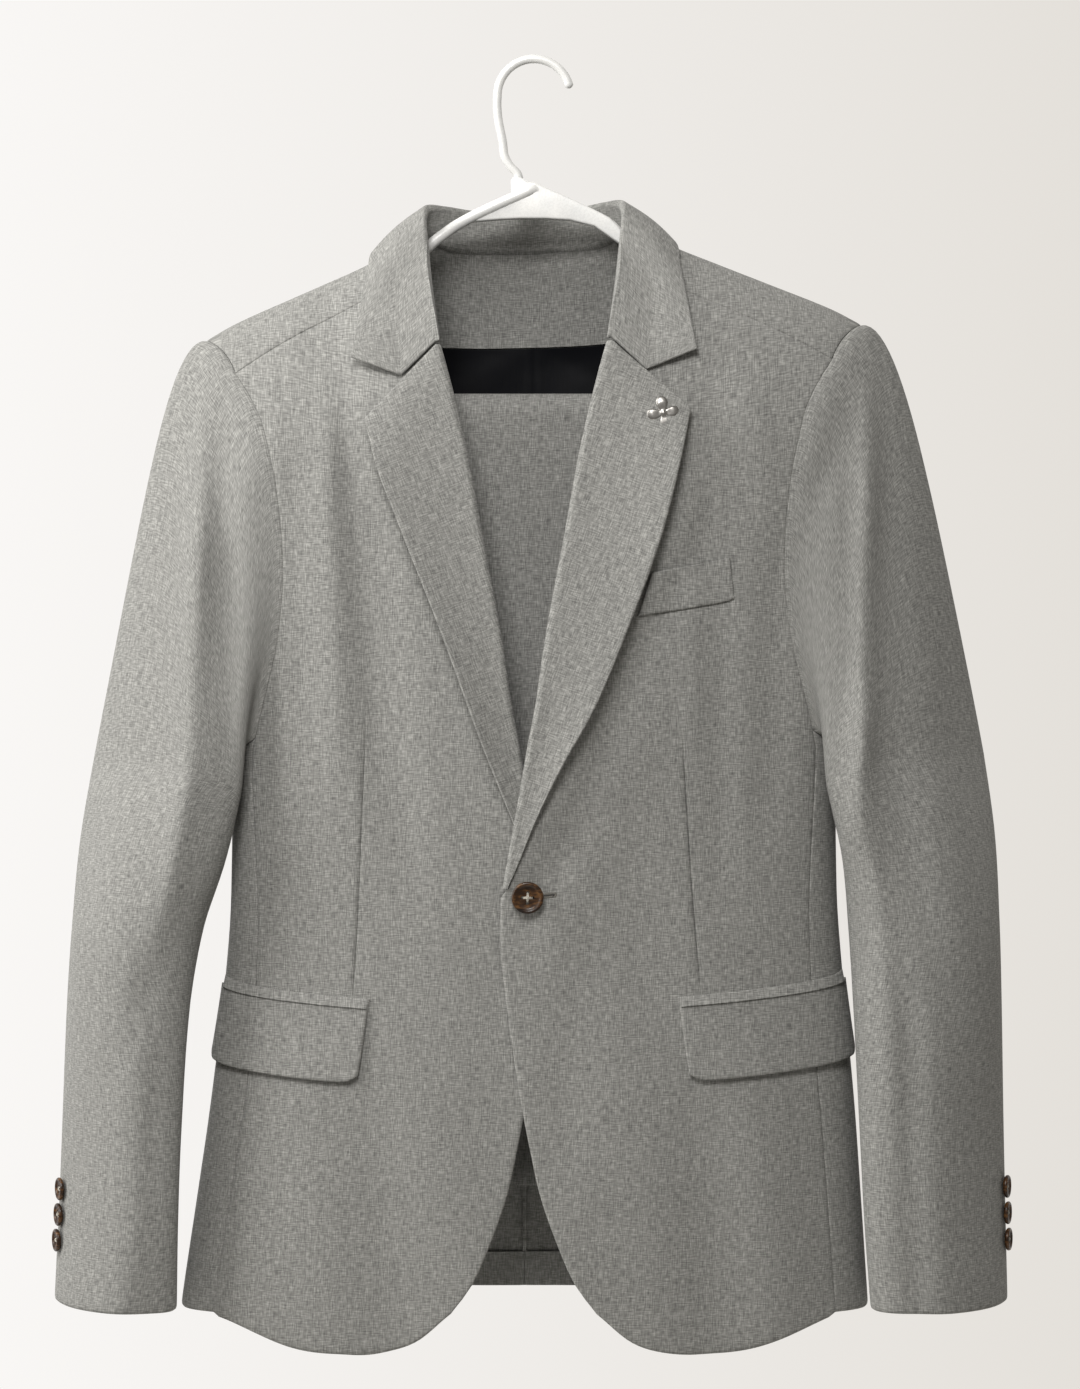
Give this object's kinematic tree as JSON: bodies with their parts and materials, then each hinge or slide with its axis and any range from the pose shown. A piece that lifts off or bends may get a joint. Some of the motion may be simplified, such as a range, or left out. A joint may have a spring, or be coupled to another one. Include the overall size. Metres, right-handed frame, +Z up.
{
  "type": "two-piece suit on a plastic hanger",
  "caption": "One-button notch-lapel jacket and folded trousers in wool suiting on a white plastic hanger, open at the neck, hem and cuffs.",
  "frame": {"origin": "underside of the hook's crown, where a rail carries the hanger", "axes": "+Z up, -Y the front of the jacket, +X the wearer's left"},
  "size_m": [0.6326, 0.1304, 0.8476],
  "materials": {
    "wool_suiting": "warm grey melange plain-weave wool, matt",
    "satin_lining": "near-black navy satin lining",
    "horn_button": "dark brown horn-look, polished",
    "silver_pin": "silver-coloured metal",
    "white_plastic": "white glossy plastic"
  },
  "bodies": {
    "root": {"back_hem_left": "wool_suiting", "back_hem_right": "wool_suiting", "back_left": "wool_suiting", "back_neck_facing": "wool_suiting", "back_right": "wool_suiting", "chest_welt": "wool_suiting", "collar": "wool_suiting", "flap_left": "wool_suiting", "flap_right": "wool_suiting", "front_left": "wool_suiting", "front_right": "wool_suiting", "jet_left": "wool_suiting", "jet_right": "wool_suiting", "lapel_left": "wool_suiting", "lapel_right": "wool_suiting", "side_left": "wool_suiting", "side_right": "wool_suiting", "sleeve_top_left": "wool_suiting", "sleeve_top_right": "wool_suiting", "sleeve_under_left": "wool_suiting", "sleeve_under_right": "wool_suiting", "trouser_leg_inner": "wool_suiting", "trouser_leg_outer": "wool_suiting", "trouser_waistband": "wool_suiting", "back_lining": "satin_lining", "front_button": "horn_button", "sleeve_button_left_1": "horn_button", "sleeve_button_left_2": "horn_button", "sleeve_button_left_3": "horn_button", "sleeve_button_right_1": "horn_button", "sleeve_button_right_2": "horn_button", "sleeve_button_right_3": "horn_button", "lapel_pin": "silver_pin", "hanger_arm_left": "white_plastic", "hanger_arm_right": "white_plastic", "hanger_bar": "white_plastic", "hanger_hook": "white_plastic", "hanger_yoke": "white_plastic"}
  },
  "joints": []
}
